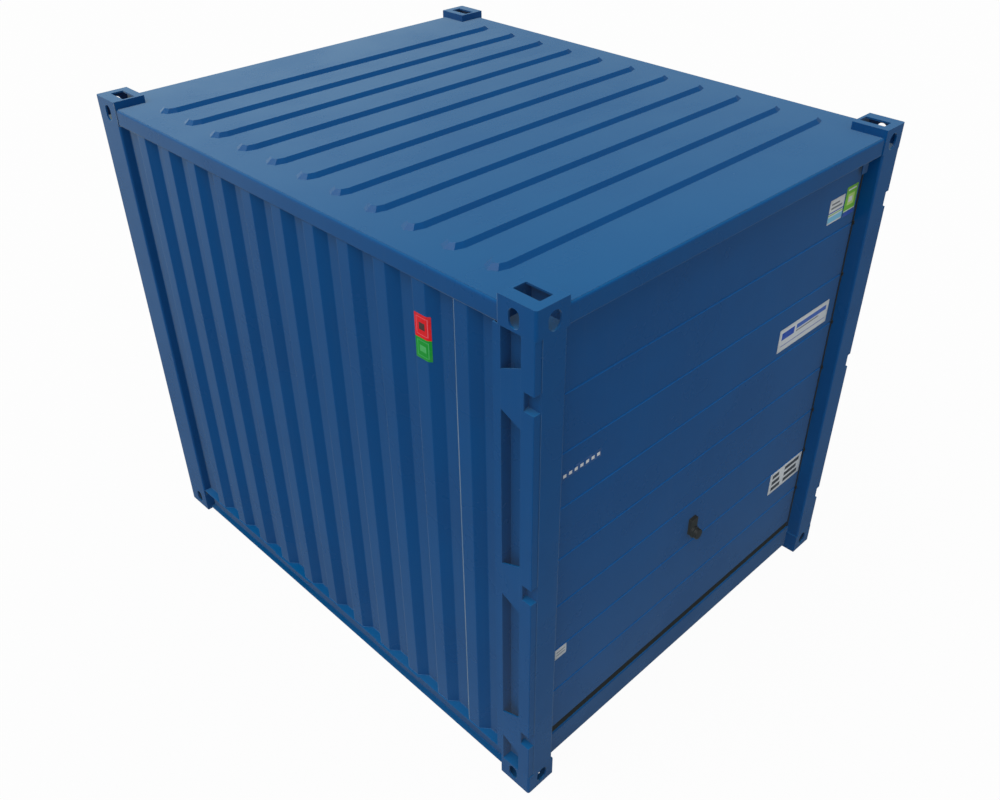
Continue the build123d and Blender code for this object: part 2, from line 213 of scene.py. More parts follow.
class Shader:
    """The nodes of a material or of the world."""

    def __init__(self, owner: Owner, output: str) -> None:
        """Empties the owner's nodes and gives it an output node."""
        self.owner = owner
        self.owner.use_nodes = True
        self.tree = self.owner.node_tree
        self.tree.nodes.clear()
        self.output = self.tree.nodes.new(output)

    @classmethod
    def named(cls, name: str) -> Shader:
        """Makes an empty material."""
        return cls(bpy.data.materials.new(name), "ShaderNodeOutputMaterial")

    def add(
        self,
        kind: str,
        settings: Optional[Mapping[str, Any]] = None,
        inputs: Optional[Inputs] = None,
        output: Union[str, int] = 0,
    ) -> Sock:
        """Adds any node.

        Args:
            kind: The node's type.
            settings: Its properties, which are set first.
            inputs: Values or links by the name or the number of the socket.
            output: The name or number of the output to give.

        Returns:
            The output.
        """
        made = self.tree.nodes.new(kind)
        for key, value in (settings or {}).items():
            setattr(made, key, value)
        for key, value in (inputs or {}).items():
            if isinstance(value, Sock):
                self.tree.links.new(value.socket, made.inputs[key])
            else:
                made.inputs[key].default_value = value
        return Sock(self, made.outputs[output])

    def place(self) -> Sock:
        """The point on the piece, in metres."""
        return self.add("ShaderNodeTexCoord", output="Object")

    def across(self) -> Sock:
        """The point in the piece's own UV map."""
        return self.add("ShaderNodeTexCoord", output="UV")

    def parts(self, vector: Sock) -> list[Sock]:
        """The three parts of a vector."""
        return self.add("ShaderNodeSeparateXYZ", inputs={0: vector}).beside(0, 1, 2)

    def stretched(self, vector: Sock, scale: Point) -> Sock:
        """A vector with each part scaled."""
        return self.add("ShaderNodeVectorMath", {"operation": "MULTIPLY"}, {0: vector, 1: scale})

    def noise(self, vector: Sock, scale: float, detail: float = 2.0, rough: float = 0.5) -> Sock:
        """Soft noise about 0.5.

        Args:
            vector: Where it is read.
            scale: Lumps to the metre.
            detail: How many finer layers are added.
            rough: How strong the finer layers are.

        Returns:
            The noise.
        """
        inputs = {"Vector": vector, "Scale": scale, "Detail": detail, "Roughness": rough}
        return self.add("ShaderNodeTexNoise", inputs=inputs)

    def mixed(self, first: Value, second: Value, share: Value) -> Sock:
        """Blends two colours.

        Args:
            first: The colour where the share is 0.
            second: The colour where the share is 1.
            share: The share of the second.

        Returns:
            The blend.
        """
        settings = {"data_type": "RGBA", "clamp_factor": True}
        return self.add("ShaderNodeMix", settings, {0: share, 6: first, 7: second}, output=2)

    def edges(self, radius: float) -> Sock:
        """How near the surface is to a sharp edge: 0 on a flat, up to 1 on the edge.

        Args:
            radius: How far from the edge it reaches, in metres.

        Returns:
            The nearness, from the turn of a rounded normal away from the flat one.
        """
        rounded = self.add("ShaderNodeBevel", {"samples": 4}, {"Radius": radius})
        flat = self.add("ShaderNodeNewGeometry", output="True Normal")
        settings = {"operation": "DOT_PRODUCT"}
        alike = self.add("ShaderNodeVectorMath", settings, {0: rounded, 1: flat}, output="Value")
        return alike.ramp(0.995, 0.80)

    def bump(self, height: Sock, depth: float, strength: float = 1.0, under: Optional[Sock] = None) -> Sock:
        """A normal bent by a height.

        Args:
            height: The height, from 0 to 1.
            depth: What a height of 1 stands for, in metres.
            strength: The share of the effect.
            under: A normal that this one is laid over.

        Returns:
            The normal.
        """
        inputs = {"Height": height, "Distance": depth, "Strength": strength}
        if under is not None:
            inputs["Normal"] = under
        return self.add("ShaderNodeBump", inputs=inputs)

    def rays(self, *kinds: str) -> list[Sock]:
        """For each kind of ray, 1 where a ray is of that kind, and 0 elsewhere."""
        return self.add("ShaderNodeLightPath").beside(*(f"Is {kind} Ray" for kind in kinds))

    def surface(self, colour: Value, roughness: Value, ior: float, normal: Sock) -> Owner:
        """Ends the material in a Principled BSDF.

        Args:
            colour: Its base colour.
            roughness: Its roughness.
            ior: Its refractive index, which sets how strong its gloss is.
            normal: Its normal.

        Returns:
            The material.
        """
        inputs = {"Base Color": colour, "Roughness": roughness, "IOR": ior, "Normal": normal}
        return self.end(self.add("ShaderNodeBsdfPrincipled", inputs=inputs))

    def end(self, last: Sock) -> Owner:
        """Links the last node to the output and gives the owner."""
        self.tree.links.new(last.socket, self.output.inputs["Surface"])
        return self.owner


@dataclass(frozen=True)
class SteelPaint:
    """Satin enamel on steel: lighter on top from sun fade and painted light, mottled a little, paler on
    edges from wear and a painted highlight, paler low down from dust and a painted reflection of the
    ground.
    """

    name: str
    colour: Colour
    deep: Colour
    # faded: the colour of upward faces, partly sun-faded paint and partly painted light from above
    faded: Colour
    # worn_and_highlight: paler edges, partly rubbed paint and partly a painted highlight along the edges
    worn_and_highlight: Colour = shown(84, 122, 160)
    # dust_and_reflection: the colour of rain streaks and of the low film, which is partly dust and partly a
    # painted reflection of the pale ground
    dust_and_reflection: Colour = shown(92, 108, 124)
    ior: float = 1.28
    roughness: float = 0.25
    mottle_scale: float = 2.3
    mottle_share: float = 0.55
    sun_from: float = 0.66
    sun_full: float = 0.92
    sun_held_back: float = 0.15
    streak_scale: Point = (26.0, 26.0, 0.55)
    streak_share: float = 0.03
    dust_scale: float = 6.0
    dust_top: float = 0.55
    dust_share: float = 0.08
    edge_radius: float = 0.003
    edge_share: float = 0.22
    rub_scale: float = 38.0
    rub_share: float = 0.55
    peel_scale: float = 70.0
    peel_depth: float = 0.00002
    ripple_length: float = 0.0055
    ripple_depth: float = 0.0007
    rough_mottle: float = 0.10
    rough_dust: float = 0.16
    is_bead: bool = False

    def build(self) -> bpy.types.Material:
        """Makes the material.

        Returns:
            The painted surface: two blues mixed by wide soft patches, a third blue bleached by the
            sun where the surface faces up, thin rain streaks that run down upright faces, paler
            rubbed edges broken up by noise, and a film of dust that fades out upwards. Its skin is
            finely dimpled, and a weld bead's is rippled along the bead too.
        """
        shader = Shader.named(self.name)
        place = shader.place()
        _, _, level = shader.parts(place)
        _, _, facing = shader.parts(shader.add("ShaderNodeNewGeometry", output="Normal"))
        upright = 1 - abs(facing)
        mottle = shader.noise(place, self.mottle_scale, 4.0, 0.6).ramp(0.30, 0.72)
        colour = shader.mixed(self.colour, self.deep, mottle * self.mottle_share)
        # Upward faces take the third blue: partly sun fade, partly painted light from above; on the door it
        # is a painted highlight on the groove chamfers
        bleached_and_lit = facing.ramp(self.sun_from, self.sun_full) * (1 - self.sun_held_back * mottle)
        colour = shader.mixed(colour, self.faded, bleached_and_lit)
        runs = shader.stretched(place, self.streak_scale)
        streaks = shader.noise(runs, 1.0, 3.0, 0.6).ramp(0.52, 0.80)
        colour = shader.mixed(colour, self.dust_and_reflection, streaks * upright * self.streak_share)
        # A pale film low down: partly settled dust, partly a painted reflection of the pale ground
        film = shader.noise(place, self.dust_scale, 5.0, 0.65).ramp(0.25, 0.85)
        film = film * level.ramp(self.dust_top, 0.0)
        colour = shader.mixed(colour, self.dust_and_reflection, film * self.dust_share)
        rub = shader.noise(place, self.rub_scale, 4.0, 0.7).ramp(0.34, 0.62)
        rub = (1 - self.rub_share) + self.rub_share * rub
        # Pale edges: partly rubbed paint, partly a painted highlight along every edge
        colour = shader.mixed(colour, self.worn_and_highlight, shader.edges(self.edge_radius) * rub * self.edge_share)
        roughness = self.roughness + self.rough_mottle * (mottle - 0.5) + self.rough_dust * film
        peel = shader.noise(place, self.peel_scale, 1.0, 0.4)
        normal = shader.bump(peel, self.peel_depth, 0.4)
        if self.is_bead:
            along, _, _ = shader.parts(shader.across())
            ripple = (along * (2 * math.pi / self.ripple_length)).sine() * 0.5 + 0.5
            normal = shader.bump(ripple, self.ripple_depth, 0.8, normal)
        return shader.surface(colour, roughness, self.ior, normal)


@dataclass(frozen=True)
class Rubber:
    """Black extruded rubber with a dull bloom."""

    name: str = "seal_rubber"
    colour: Colour = shown(20, 20, 22)
    bloom: Colour = shown(40, 40, 42)
    patch_scale: float = 14.0
    grain_scale: float = 700.0
    grain_depth: float = 0.00015
    edge_radius: float = 0.0015
    ior: float = 1.4

    def build(self) -> bpy.types.Material:
        """Makes the material.

        Returns:
            Black rubber with paler patches, fine grain and rubbed edges.
        """
        shader = Shader.named(self.name)
        place = shader.place()
        patches = shader.noise(place, self.patch_scale, 5.0, 0.65).ramp(0.35, 0.80)
        colour = shader.mixed(self.colour, self.bloom, patches * 0.55)
        colour = shader.mixed(colour, self.bloom, shader.edges(self.edge_radius) * 0.5)
        grain = shader.noise(place, self.grain_scale, 2.0, 0.5)
        normal = shader.bump(grain, self.grain_depth, 0.7)
        return shader.surface(colour, 0.62 + 0.2 * patches, self.ior, normal)


@dataclass(frozen=True)
class MouldedPlastic:
    """Black moulded plastic with a pebbled skin."""

    name: str = "lock_plastic"
    colour: Colour = shown(36, 36, 36)
    polished: Colour = shown(62, 61, 59)
    scuff_scale: Point = (60.0, 60.0, 240.0)
    pebble_scale: float = 900.0
    pebble_depth: float = 0.00012
    edge_radius: float = 0.0015
    ior: float = 1.45

    def build(self) -> bpy.types.Material:
        """Makes the material.

        Returns:
            Dark plastic: pebbles from cell noise, edges polished by hands, a few scuffs.
        """
        shader = Shader.named(self.name)
        place = shader.place()
        rubs = shader.stretched(place, self.scuff_scale)
        scuffs = shader.noise(rubs, 1.0, 4.0, 0.7).ramp(0.60, 0.82)
        colour = shader.mixed(self.colour, self.polished, scuffs * 0.5)
        colour = shader.mixed(colour, self.polished, shader.edges(self.edge_radius) * 0.7)
        cells = {"Vector": place, "Scale": self.pebble_scale}
        pebbles = shader.add("ShaderNodeTexVoronoi", {"feature": "SMOOTH_F1"}, cells)
        normal = shader.bump(pebbles, self.pebble_depth, 0.8)
        return shader.surface(colour, 0.52 - 0.12 * scuffs, self.ior, normal)


@dataclass(frozen=True)
class DeckPlywood:
    """Sealed brown plywood, grained along the container."""

    name: str = "deck_plywood"
    pale: Colour = shown(150, 112, 74)
    brown: Colour = shown(96, 64, 38)
    gap: Colour = shown(30, 22, 16)
    grain_scale: Point = (95.0, 4.0, 95.0)
    grain_depth: float = 0.0006
    tone_scale: float = 0.8
    board_length: float = 1.2
    ior: float = 1.45

    def build(self) -> bpy.types.Material:
        """Makes the material.

        Returns:
            Wood: long grain from stretched noise, and dark joints between the boards' ends.
        """
        shader = Shader.named(self.name)
        place = shader.place()
        _, along, _ = shader.parts(place)
        grain = shader.noise(shader.stretched(place, self.grain_scale), 1.0, 6.0, 0.65)
        tone = shader.noise(place, self.tone_scale, 1.0, 0.4)
        colour = shader.mixed(self.pale, self.brown, grain.ramp(0.30, 0.75) * 0.8 + tone * 0.2)
        joint = abs((along * (math.pi / self.board_length)).sine()).ramp(0.006, 0.0)
        colour = shader.mixed(colour, self.gap, joint)
        normal = shader.bump(grain - joint, self.grain_depth, 0.5)
        return shader.surface(colour, 0.48 + 0.2 * grain, self.ior, normal)


@dataclass(frozen=True)
class Block:
    """A block of plain colour on a printed plate, in shares of the plate's width and height."""

    left: float
    low: float
    right: float
    high: float
    colour: Colour


@dataclass(frozen=True)
class PrintedPlate:
    """A thin plate or sticker with plain blocks of colour and no words."""

    name: str
    ground: Colour
    blocks: tuple[Block, ...] = ()
    faded: Colour = shown(176, 182, 188)
    grime: Colour = shown(96, 104, 112)
    fade_scale: float = 45.0
    fade_share: float = 0.12
    grain_scale: float = 420.0
    grain_depth: float = 0.00005
    ior: float = 1.2

    def build(self) -> bpy.types.Material:
        """Makes the material.

        Returns:
            The ground colour with each block laid over it, faded and lightly dusty.
        """
        shader = Shader.named(self.name)
        place = shader.place()
        across, up, _ = shader.parts(shader.across())
        colour: Value = self.ground
        for block in self.blocks:
            inside = across.between(block.left, block.right) * up.between(block.low, block.high)
            colour = shader.mixed(colour, block.colour, inside)
        fade = shader.noise(place, self.fade_scale, 5.0, 0.65).ramp(0.30, 0.80)
        colour = shader.mixed(colour, self.faded, fade * self.fade_share)
        rim = (across * (1 - across) * up * (1 - up)).ramp(0.012, 0.0)
        colour = shader.mixed(colour, self.grime, rim * fade * 0.35)
        normal = shader.bump(shader.noise(place, self.grain_scale), self.grain_depth, 0.5)
        return shader.surface(colour, 0.42 + 0.18 * fade, self.ior, normal)


def put_mesh(
    name: str,
    points: np.ndarray,
    faces: Sequence[Sequence[int]],
    material: bpy.types.Material,
    coordinates: Optional[np.ndarray] = None,
    smooth: bool = True,
) -> bpy.types.Object:
    """Makes a mesh object from whole arrays.

    Args:
        name: The piece's name.
        points: Its points, one row each.
        faces: Its faces, as numbers of points.
        material: Its material.
        coordinates: A UV pair for each point, if its pattern follows the surface.
        smooth: Whether its faces are shaded smoothly where they meet at a small angle.

    Returns:
        The object, at the origin.
    """
    mesh = bpy.data.meshes.new(name)
    mesh.from_pydata(points.tolist(), [], faces)
    mesh.validate()
    if coordinates is not None:
        corners = np.zeros(len(mesh.loops), np.int32)
        mesh.loops.foreach_get("vertex_index", corners)
        layer = mesh.uv_layers.new(name="UVMap")
        layer.data.foreach_set("uv", coordinates[corners].astype(np.float32).ravel())
    mesh.materials.append(material)
    if smooth:
        mesh.shade_smooth()
        mesh.set_sharp_from_angle(angle=SMOOTH_BELOW)
    made = bpy.data.objects.new(name, mesh)
    bpy.context.scene.collection.objects.link(made)
    return made


def ring_faces(rings: int, sides: int, start: int) -> list[list[int]]:
    """Faces of a capped tube whose points lie in closed rings.

    Args:
        rings: How many rings there are.
        sides: How many points each ring has.
        start: The number of the first point.

    Returns:
        A quad for each pair of neighbours in both directions, and a flat cap at each end.
    """
    row, column = np.meshgrid(np.arange(rings - 1), np.arange(sides), indexing="ij")
    near = start + row * sides
    following = (column + 1) % sides
    corners = [near + column, near + following, near + sides + following, near + sides + column]
    quads = np.stack(corners, axis=-1).reshape(-1, 4)
    end = start + rings * sides
    first = range(start + sides - 1, start - 1, -1)
    return [*quads.tolist(), list(first), list(range(end - sides, end))]


@dataclass
class Rings:
    """Several capped tubes gathered into one mesh."""

    points: list[np.ndarray] = field(default_factory=list)
    coordinates: list[np.ndarray] = field(default_factory=list)
    faces: list[list[int]] = field(default_factory=list)
    count: int = 0

    def add(self, rings: np.ndarray, coordinates: Optional[np.ndarray] = None) -> Rings:
        """Adds one tube.

        Args:
            rings: Its points, by ring and side.
            coordinates: A UV pair for each point, by ring and side.

        Returns:
            This gathering, with the tube in it.
        """
        many, sides, _ = rings.shape
        if coordinates is None:
            coordinates = np.zeros((many, sides, 2))
        self.faces += ring_faces(many, sides, self.count)
        self.points.append(rings.reshape(-1, 3))
        self.coordinates.append(coordinates.reshape(-1, 2))
        self.count += many * sides
        return self

    def build(self, name: str, material: bpy.types.Material, smooth: bool = True) -> bpy.types.Object:
        """Makes the object.

        Args:
            name: The piece's name.
            material: Its material.
            smooth: Whether its faces are shaded smoothly.

        Returns:
            The object.
        """
        points = np.concatenate(self.points)
        return put_mesh(name, points, self.faces, material, np.concatenate(self.coordinates), smooth)


def bead_along(path: np.ndarray, radius: float, sides: int = 8) -> tuple[np.ndarray, np.ndarray]:
    """A round bead along a line of points.

    Each ring is a circle of the radius square to the path: two unit vectors across the path are
    scaled by the cosine and sine of the turn and added to the point. The first and last rings are
    drawn in to a third, so that the ends are domed.

    Args:
        path: The points of its middle line, three or more.
        radius: Its radius.
        sides: How many sides each ring has.

    Returns:
        The points and the UV pairs, both by ring and side. The first of each pair is the distance
        along the path, and the second the turn as a share.
    """
    steps = np.diff(path, axis=0)
    lengths = np.linalg.norm(steps, axis=1)
    tangents = np.vstack([steps[:1], steps[:-1] + steps[1:], steps[-1:]])
    tangents /= np.linalg.norm(tangents, axis=1)[:, None]
    reference = np.where(np.abs(tangents[:, 2:3]) > 0.9, [[1.0, 0.0, 0.0]], [[0.0, 0.0, 1.0]])
    first = np.cross(tangents, reference)
    first /= np.linalg.norm(first, axis=1)[:, None]
    second = np.cross(tangents, first)
    distance = np.concatenate([[0.0], np.cumsum(lengths)])
    start, end, last = path[:1], path[-1:], len(path) - 1
    shoulders = (start + tangents[:1] * radius, end - tangents[-1:] * radius)
    centres = np.vstack([start, shoulders[0], path[1:-1], shoulders[1], end])
    keep = np.concatenate([[0], np.arange(last), [last, last]])
    radii = np.full(len(keep), radius)
    radii[[0, -1]] = radius / 3
    share = np.arange(sides) / sides
    turn = (share * 2 * math.pi)[None, :, None]
    across = np.cos(turn) * first[keep][:, None, :] + np.sin(turn) * second[keep][:, None, :]
    points = centres[:, None, :] + across * radii[:, None, None]
    along = np.repeat(distance[keep][:, None], sides, axis=1)
    around = np.repeat(share[None, :], len(keep), axis=0)
    return points, np.stack([along, around], axis=-1)


def rounded_outline(width: float, height: float, radius: float, steps: int = 5) -> np.ndarray:
    """Outline of a rectangle with round corners, about the origin.

    Each corner's arc is the corner's centre plus the radius times the cosine and sine of a turn
    that runs over a quarter circle.

    Args:
        width: Its width.
        height: Its height.
        radius: The corners' radius.
        steps: Points to a corner.

    Returns:
        The points in the plane, in order.
    """
    turn = np.arange(4)[:, None] * math.pi / 2 + np.linspace(0, math.pi / 2, steps)
    x = (width / 2 - radius) * np.array([[1], [-1], [-1], [1]]) + radius * np.cos(turn)
    y = (height / 2 - radius) * np.array([[1], [1], [-1], [-1]]) + radius * np.sin(turn)
    return np.stack([x, y], axis=-1).reshape(-1, 2)


def cushioned_slab(width: float, height: float, depth: float, radius: float) -> np.ndarray:
    """A thin slab with round corners and a softened front edge, about the origin.

    The outline is carried from the back to the front in three rings. The last ring is drawn in by a
    third of the depth, so that the edge is chamfered.

    Args:
        width: Its width along X.
        height: Its height along Z.
        depth: Its depth, from Y of 0 to minus this.
        radius: The corners' radius.

    Returns:
        The points by ring and side.
    """
    outline = rounded_outline(width, height, radius)
    shrink = [1 - 2 * (depth / 3) / width, 1 - 2 * (depth / 3) / height]
    levels = np.array([0.0, -depth * CHAMFER_START, -depth])
    flat = outline * np.array([[1.0, 1.0], [1.0, 1.0], shrink])[:, None, :]
    depths = np.repeat(levels[:, None], len(outline), axis=1)
    return np.stack([flat[:, :, 0], depths, flat[:, :, 1]], axis=-1)


def wear(piece: bpy.types.Object, material: bpy.types.Material) -> None:
    """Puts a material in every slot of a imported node.

    Its neighbours' gloss mirrors the surroundings and not the node, as on the photographed paint. A
    few nodes are mirrored, because the sky would shine through them along their folds and joints.

    Args:
        piece: The object.
        material: The material.
    """
    for held in piece.material_slots:
        held.material = material
    piece.visible_glossy = piece.name in MIRRORED


def settle(piece: bpy.types.Object) -> bpy.types.Object:
    """Fixes a new piece to the container's shell and reports it.

    Args:
        piece: The object.

    Returns:
        The object.
    """
    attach(piece, SHELL)
    piece.visible_glossy = False
    log.info("%s: %d faces", piece.name, len(piece.data.polygons))
    return piece


@dataclass
class Finishes:
    """Every finish on the container, built once."""

    # Each paint's third colour is for upward faces: on the shell partly sun fade, partly painted light from
    # above
    shell: SteelPaint = SteelPaint("shell_paint", shown(7, 76, 135), shown(5, 70, 127), shown(3, 88, 143))
    # The door's lighter blue from a low upward turn is a painted highlight on the panels' groove chamfers
    door: SteelPaint = SteelPaint(
        "shutter_paint", shown(6, 76, 137), shown(4, 71, 130), shown(8, 96, 170),
        sun_from=0.30, sun_full=0.60,
    )
    weld: SteelPaint = SteelPaint(
        "weld_paint", shown(20, 84, 144), shown(12, 76, 134), shown(24, 92, 146),
        edge_share=0.1, is_bead=True,
    )
    # The pale joints' colour is a painted highlight along the castings' edges and the wall's sheet joint
    joint_highlight: SteelPaint = SteelPaint(
        "sheet_joint", shown(122, 146, 172), shown(98, 128, 160), shown(122, 146, 172),
        edge_share=0.1, is_bead=True,
    )
    # The hairlines' pale colour is a painted highlight along the door post's lip edges
    hairline: SteelPaint = SteelPaint(
        "hairline_painted_highlight", shown(72, 108, 148), shown(44, 92, 142), shown(72, 108, 148), edge_share=0.1
    )

    def dress(self, nodes: Mapping[str, bpy.types.Object], record: Mapping[str, Any]) -> None:
        """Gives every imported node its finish, by the record's slots.

        Args:
            nodes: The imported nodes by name.
            record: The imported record.
        """
        by_slot = {
            Slot.BLUE_PAINT: self.shell.build(),
            Slot.DOOR_PAINT: self.door.build(),
            Slot.BLACK_RUBBER: Rubber().build(),
            Slot.BLACK_PLASTIC: MouldedPlastic().build(),
            Slot.PLYWOOD: DeckPlywood().build(),
        }
        for part in record["subparts"]:
            slot = Slot(part["material_slot"])
            wear(nodes[part["node"]], by_slot[slot])
        log.info("dressed %d nodes", len(record["subparts"]))


@dataclass
class WallFold:
    """Line of a corrugated wall's outer face, seen from above."""

    outer: float
    pitch: float = 0.224
    crest: float = 0.070
    slope: float = 0.043
    depth: float = 0.036

    def line(self, count: int, start: float, end: float) -> np.ndarray:
        """Corners of the fold.

        Args:
            count: How many crests there are, evenly about the middle.
            start: Where the wall starts.
            end: Where the wall ends.

        Returns:
            The distance along the wall and the outward place of each corner. Each crest adds four
            corners: foot, top, top and foot of its two slopes.
        """
        centres = (np.arange(count) - (count - 1) / 2) * self.pitch
        reach = self.crest / 2 + self.slope
        offsets = np.array([-reach, -self.crest / 2, self.crest / 2, reach])
        along = (centres[:, None] + offsets).ravel()
        inner = self.outer - self.depth
        out = [inner, self.outer, self.outer, inner] * count
        return np.array([[start, *along, end], [inner, *out, inner]]).T


def upright(across: float, along: float, low: float, high: float) -> Line:
    """An upright line at one place, from low to high."""
    return ((across, along, low), (across, along, high))


@dataclass
class WeldSeams:
    """Weld beads where the castings, posts, rails, walls and roof meet.

    The first four sizes are radii of beads, the gaps are left free at their ends, the levels are
    the middles of a door post's notches, and the rest are places on the container.
    """

    finish: SteelPaint
    joint_highlight_finish: SteelPaint
    hairline_highlight_finish: SteelPaint
    bead: float = 0.0024
    fine: float = 0.0014
    joint: float = 0.0016
    hairline: float = 0.0007
    hairline_sides: int = 6
    gap: float = 0.004
    joint_gap: float = 0.003
    hairline_gap: float = 0.002
    joint_depth: float = 0.0002
    web_face: float = HALF_WIDTH - 0.0022
    roof_edge: float = HALF_WIDTH - 0.016
    header_edge: float = HALF_LENGTH - 0.0175
    wall_side: float = HALF_WIDTH - WALL_INSET
    rear_wall_face: float = HALF_LENGTH - WALL_INSET
    wall_crests: int = 11
    rear_crests: int = 9
    sheet_joint: float = -1.0865
    sill_end: float = HALF_LENGTH - 0.0695
    sill_low: float = 0.022
    levels: Point = (0.3745, HEIGHT / 2, HEIGHT - 0.3745)
    web_outer_half: float = 0.124
    web_inner_half: float = 0.081
    notch_half: float = 0.043
    bare_half: float = 0.130
    step: tuple[float, float] = (0.0348 - HALF_WIDTH, 0.0014 - HALF_LENGTH)
    lip: tuple[float, float] = (0.0018 - HALF_WIDTH, POST_LIP_LENGTH - HALF_LENGTH)

    def side_lines(self) -> list[tuple[Line, float]]:
        """Straight seams of the left side, each with its radius."""
        reach = HALF_LENGTH - CASTING_LENGTH - self.gap
        edge = -self.roof_edge
        lines = [(((edge, -reach, ROOF_UNDERSIDE), (edge, reach, ROOF_UNDERSIDE)), self.fine)]
        webs = ((POST_LIP_LENGTH, self.web_outer_half), (POST_RECESS_END, self.web_inner_half))
        for level in self.levels:
            for along, half in webs:
                seam = upright(-self.web_face, along - HALF_LENGTH, level - half, level + half)
                lines.append((seam, self.fine))
        for along in (POST_SIDE_END - HALF_LENGTH, HALF_LENGTH - REAR_POST_SIDE):
            lines.append((upright(WALL_INNER_FACE - HALF_WIDTH, along, RAIL_TOP, POST_TOP), self.bead))
        return lines

    def end_lines(self) -> list[tuple[Line, float]]:
        """Straight seams across the left half of both ends, each with its radius."""
        inner = CASTING_WIDTH - HALF_WIDTH + self.gap
        jamb, corner = POST_FRONT_WIDTH - HALF_WIDTH, REAR_POST_FACE - HALF_WIDTH
        lines = [
            (((inner, edge, ROOF_UNDERSIDE), (0.0, edge, ROOF_UNDERSIDE)), self.fine)
            for edge in (-self.header_edge, self.header_edge)
        ]
        lines.append((upright(jamb, -self.sill_end, self.sill_low, RAIL_TOP), self.bead))
        lines.append((upright(corner, HALF_LENGTH - WALL_INNER_FACE, RAIL_TOP, POST_TOP), self.bead))
        return lines

    def joint_lines(self) -> list[Line]:
        """Pale joints of the left side, whose pale colour is a painted highlight: down both castings'
        edges, and between two wall sheets.
        """
        side = -(HALF_WIDTH - self.joint - self.joint_depth)
        edge = HALF_LENGTH - CASTING_LENGTH - self.joint / 2
        low, high = POST_TOP + self.joint_gap, HEIGHT - self.joint_gap
        foot = -self.wall_side + self.joint / 2
        return [
            upright(side, -edge, low, high),
            upright(side, edge, low, high),
            upright(foot, self.sheet_joint, RAIL_TOP + self.hairline_gap, POST_TOP),
        ]

    def hairlines(self) -> list[Line]:
        """Thin pale lines of the left door post, a painted highlight on its edges: down its lip's step, and
        then down its lip's end.
        """
        lines = []
        for (across, along), half in ((self.step, self.notch_half), (self.lip, self.bare_half)):
            edges = [CASTING_HEIGHT]
            for level in self.levels:
                edges += [level - half, level + half]
            edges.append(POST_TOP)
            for low, high in zip(edges[::2], edges[1::2]):
                lines.append(upright(across, along, low + self.hairline_gap, high - self.hairline_gap))
        return lines

    def foot_paths(self) -> tuple[np.ndarray, np.ndarray]:
        """Middle lines of the beads along the feet of the left wall and of the rear wall."""
        start, end = POST_SIDE_END - HALF_LENGTH, HALF_LENGTH - REAR_POST_SIDE
        side = WallFold(self.wall_side).line(self.wall_crests, start, end)
        reach = HALF_WIDTH - REAR_POST_FACE
        rear = WallFold(self.rear_wall_face).line(self.rear_crests, -reach, reach)
        left = np.column_stack([-side[:, 1], side[:, 0], np.full(len(side), RAIL_TOP)])
        return left, np.column_stack([rear, np.full(len(rear), RAIL_TOP)])

    def on_both_sides(
        self, name: str, finish: SteelPaint, lines: Sequence[Line], radius: float, sides: int = 8
    ) -> bpy.types.Object:
        """Makes one piece of lines that both long sides have.

        Args:
            name: The piece's name.
            finish: Its finish.
            lines: Its lines on the left side.
            radius: Their radius.
            sides: How many sides each ring has.

        Returns:
            The piece.
        """
        rings = Rings()
        for side in Side:
            for line in lines:
                rings.add(*bead_along(np.linspace(*line, 3) * side.flip, radius, sides))
        return settle(rings.build(name, finish.build()))

    def build(self) -> list[bpy.types.Object]:
        """Makes the beads of both sides and both ends.

        Returns:
            The pieces: seams of the left and right halves, the rear wall's foot, and pale sheet joints and
            hairlines whose colour is a painted highlight.
        """
        material = self.finish.build()
        pieces = []
        left_foot, back_foot = self.foot_paths()
        for side in Side:
            seams = Rings()
            for line, radius in self.side_lines() + self.end_lines():
                seams.add(*bead_along(np.linspace(*line, 3) * side.flip, radius))
            seams.add(*bead_along(left_foot * side.flip, self.bead))
            pieces.append(settle(seams.build(f"weld_seams_{side.name.lower()}", material)))
        rear = Rings().add(*bead_along(back_foot, self.bead))
        pieces.append(settle(rear.build("weld_seam_rear_wall", material)))
        for piece in (
            ("pale_joint_highlights", self.joint_highlight_finish, self.joint_lines(), self.joint),
            ("hairline_highlights", self.hairline_highlight_finish, self.hairlines(), self.hairline, self.hairline_sides),
        ):
            pieces.append(self.on_both_sides(*piece))
        return pieces


@dataclass(frozen=True)
class Plate:
    """A thin plate on the door end, by its edges in metres."""

    name: str
    left: float
    right: float
    low: float
    high: float
    finish: PrintedPlate
    depth: float = 0.0012
    corner: float = 0.004


